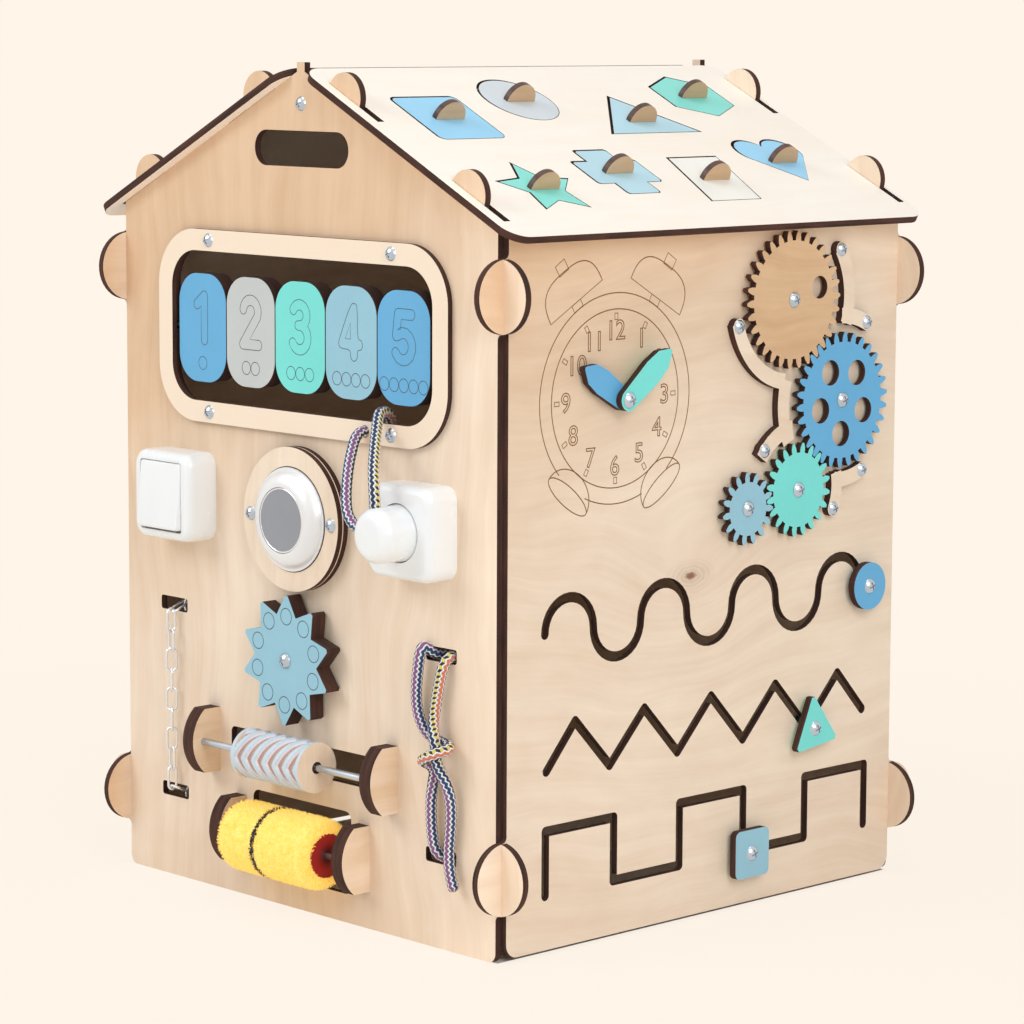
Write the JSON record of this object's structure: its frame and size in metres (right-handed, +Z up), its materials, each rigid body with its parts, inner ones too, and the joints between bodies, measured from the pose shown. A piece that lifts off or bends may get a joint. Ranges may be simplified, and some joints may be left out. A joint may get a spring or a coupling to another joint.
{
  "type": "activity house",
  "caption": "Free-standing plywood activity house with a gear wall, a play clock, sliding knobs, a number window, a switch, a push light, a plug, rollers and a roof shape puzzle",
  "frame": {"origin": "table plane under the middle of the overall box, which runs from the front of the plug to the back corner ears", "axes": "+Z up, the gable with the number window faces -Y, the gear wall faces +X"},
  "size_m": [0.442, 0.4654, 0.5879],
  "materials": {
    "birch_ply": "sanded, clear matt",
    "batten_wood": "planed, bare",
    "blue_paint": "satin paint on birch",
    "pale_blue_paint": "satin paint on birch",
    "mint_paint": "satin paint on birch",
    "grey_paint": "satin paint on birch",
    "white_paint": "satin paint on birch",
    "white_plastic": "gloss moulding",
    "silver_plastic": "silver lacquer",
    "grey_plastic": "fine matt",
    "zinc_steel": "bright zinc",
    "braided_cord": "round braid, white with dark flecks",
    "yellow_nap": "fluffy knitted nap",
    "red_plastic": "moulded"
  },
  "bodies": {
    "house": {"front_panel": "birch_ply", "back_panel": "birch_ply", "right_panel": "birch_ply", "left_panel": "birch_ply", "right_roof": "birch_ply", "left_roof": "birch_ply", "puzzle_base": "batten_wood", "ridge_bar": "batten_wood", "window_frame": "birch_ply", "number_rod": "zinc_steel", "rod_keepers": "batten_wood", "switch_base": "white_plastic", "light_rings": "birch_ply", "light_board": "white_plastic", "light_bezel": "silver_plastic", "socket_base": "white_plastic", "plug_cord": "braided_cord", "chain": "zinc_steel", "axle_brackets": "birch_ply", "axle_rods": "zinc_steel", "lacing_cord": "braided_cord", "gear_guards": "birch_ply", "panel_screws": "zinc_steel", "pivot_bolts": "zinc_steel", "pivot_spacers": "zinc_steel"},
    "tile_1": {"number_tile_1": "blue_paint"},
    "tile_2": {"number_tile_2": "grey_paint"},
    "tile_3": {"number_tile_3": "mint_paint"},
    "tile_4": {"number_tile_4": "pale_blue_paint"},
    "tile_5": {"number_tile_5": "blue_paint"},
    "rocker": {"switch_rocker": "white_plastic"},
    "button": {"light_button": "grey_plastic"},
    "plug": {"plug_body": "white_plastic", "plug_pins": "zinc_steel"},
    "star": {"star_spinner": "pale_blue_paint"},
    "spool_roll": {"spool": "birch_ply", "spool_bands": "pale_blue_paint"},
    "fluffy_roll": {"roller_core": "red_plastic", "roller_sleeve": "yellow_nap"},
    "hour": {"hour_hand": "blue_paint"},
    "minute": {"minute_hand": "mint_paint"},
    "gear_wood_body": {"gear_wood": "birch_ply"},
    "gear_blue_body": {"gear_blue": "blue_paint"},
    "gear_green_body": {"gear_green": "mint_paint"},
    "gear_small_body": {"gear_small": "pale_blue_paint"},
    "knob_round": {"slider_round": "blue_paint", "slider_bolt_round": "zinc_steel"},
    "knob_triangle": {"slider_triangle": "mint_paint", "slider_bolt_triangle": "zinc_steel"},
    "knob_square": {"slider_square": "pale_blue_paint", "slider_bolt_square": "zinc_steel"},
    "piece_square": {"puzzle_square": "blue_paint"},
    "piece_circle": {"puzzle_circle": "grey_paint"},
    "piece_triangle": {"puzzle_triangle": "pale_blue_paint"},
    "piece_hexagon": {"puzzle_hexagon": "mint_paint"},
    "piece_star": {"puzzle_star": "mint_paint"},
    "piece_cross": {"puzzle_cross": "pale_blue_paint"},
    "piece_lozenge": {"puzzle_lozenge": "white_paint"},
    "piece_heart": {"puzzle_heart": "blue_paint"}
  },
  "joints": [
    {"name": "tile_1_turn", "type": "hinge", "parent": "house", "child": "tile_1", "pos_m": [-0.106, -0.17765, 0.4009], "axis": [1, 0, 0], "continuous": true},
    {"name": "tile_2_turn", "type": "hinge", "parent": "house", "child": "tile_2", "pos_m": [-0.053, -0.17765, 0.4009], "axis": [1, 0, 0], "continuous": true},
    {"name": "tile_3_turn", "type": "hinge", "parent": "house", "child": "tile_3", "pos_m": [0, -0.17765, 0.4009], "axis": [1, 0, 0], "continuous": true},
    {"name": "tile_4_turn", "type": "hinge", "parent": "house", "child": "tile_4", "pos_m": [0.053, -0.17765, 0.4009], "axis": [1, 0, 0], "continuous": true},
    {"name": "tile_5_turn", "type": "hinge", "parent": "house", "child": "tile_5", "pos_m": [0.106, -0.17765, 0.4009], "axis": [1, 0, 0], "continuous": true},
    {"name": "rocker_tilt", "type": "hinge", "parent": "house", "child": "rocker", "pos_m": [-0.1255, -0.20025, 0.2815], "axis": [1, 0, 0], "range_deg": [0, 11]},
    {"name": "light_press", "type": "slide", "parent": "house", "child": "button", "axis": [0, 1, 0], "range_m": [0, 0.003], "stiffness_N_per_m": 800, "springref_m": -0.003},
    {"name": "plug_pull", "type": "slide", "parent": "house", "child": "plug", "axis": [0, -1, 0], "range_m": [0, 0.04], "deforming": ["plug_cord"]},
    {"name": "star_spin", "type": "hinge", "parent": "house", "child": "star", "pos_m": [-0.002, -0.19025, 0.178], "axis": [0, -1, 0], "continuous": true},
    {"name": "spool_spin", "type": "hinge", "parent": "house", "child": "spool_roll", "pos_m": [-0.003, -0.19775, 0.1085], "axis": [1, 0, 0], "continuous": true},
    {"name": "fluffy_spin", "type": "hinge", "parent": "house", "child": "fluffy_roll", "pos_m": [-0.0025, -0.19775, 0.049], "axis": [1, 0, 0], "continuous": true},
    {"name": "hour_turn", "type": "hinge", "parent": "house", "child": "hour", "pos_m": [0.205, -0.07875, 0.3675], "axis": [1, 0, 0], "continuous": true},
    {"name": "minute_turn", "type": "hinge", "parent": "house", "child": "minute", "pos_m": [0.205, -0.07875, 0.3675], "axis": [1, 0, 0], "continuous": true},
    {"name": "gear_wood_turn", "type": "hinge", "parent": "house", "child": "gear_wood_body", "pos_m": [0.2045, 0.08939, 0.42514], "axis": [1, 0, 0], "continuous": true},
    {"name": "gear_blue_turn", "type": "hinge", "parent": "house", "child": "gear_blue_body", "pos_m": [0.2045, 0.14155, 0.3518], "axis": [1, 0, 0], "continuous": true},
    {"name": "gear_green_turn", "type": "hinge", "parent": "house", "child": "gear_green_body", "pos_m": [0.2045, 0.09655, 0.2918], "axis": [1, 0, 0], "continuous": true},
    {"name": "gear_small_turn", "type": "hinge", "parent": "house", "child": "gear_small_body", "pos_m": [0.2045, 0.04481, 0.28292], "axis": [1, 0, 0], "continuous": true},
    {"name": "round_slide", "type": "hinge", "parent": "house", "child": "knob_round", "pos_m": [0.205, 0.14925, 0.216], "axis": [1, 0, 0], "range_deg": [0, 180]},
    {"name": "triangle_slide", "type": "slide", "parent": "house", "child": "knob_triangle", "axis": [0, 0.6901, 0.7237], "range_m": [0, 0.0476]},
    {"name": "square_slide", "type": "slide", "parent": "house", "child": "knob_square", "axis": [0, 1, 0], "range_m": [0, 0.0642]},
    {"name": "square_lift", "type": "slide", "parent": "house", "child": "piece_square", "axis": [0.4462, 0, 0.8949], "range_m": [0, 0.03]},
    {"name": "circle_lift", "type": "slide", "parent": "house", "child": "piece_circle", "axis": [0.4462, 0, 0.8949], "range_m": [0, 0.03]},
    {"name": "triangle_lift", "type": "slide", "parent": "house", "child": "piece_triangle", "axis": [0.4462, 0, 0.8949], "range_m": [0, 0.03]},
    {"name": "hexagon_lift", "type": "slide", "parent": "house", "child": "piece_hexagon", "axis": [0.4462, 0, 0.8949], "range_m": [0, 0.03]},
    {"name": "star_lift", "type": "slide", "parent": "house", "child": "piece_star", "axis": [0.4462, 0, 0.8949], "range_m": [0, 0.03]},
    {"name": "cross_lift", "type": "slide", "parent": "house", "child": "piece_cross", "axis": [0.4462, 0, 0.8949], "range_m": [0, 0.03]},
    {"name": "lozenge_lift", "type": "slide", "parent": "house", "child": "piece_lozenge", "axis": [0.4462, 0, 0.8949], "range_m": [0, 0.03]},
    {"name": "heart_lift", "type": "slide", "parent": "house", "child": "piece_heart", "axis": [0.4462, 0, 0.8949], "range_m": [0, 0.03]}
  ],
  "couplings": [
    {"joint": "gear_blue_turn", "follows": "gear_wood_turn", "ratio": -1},
    {"joint": "gear_green_turn", "follows": "gear_wood_turn", "ratio": 1.5},
    {"joint": "gear_small_turn", "follows": "gear_wood_turn", "ratio": -2}
  ]
}
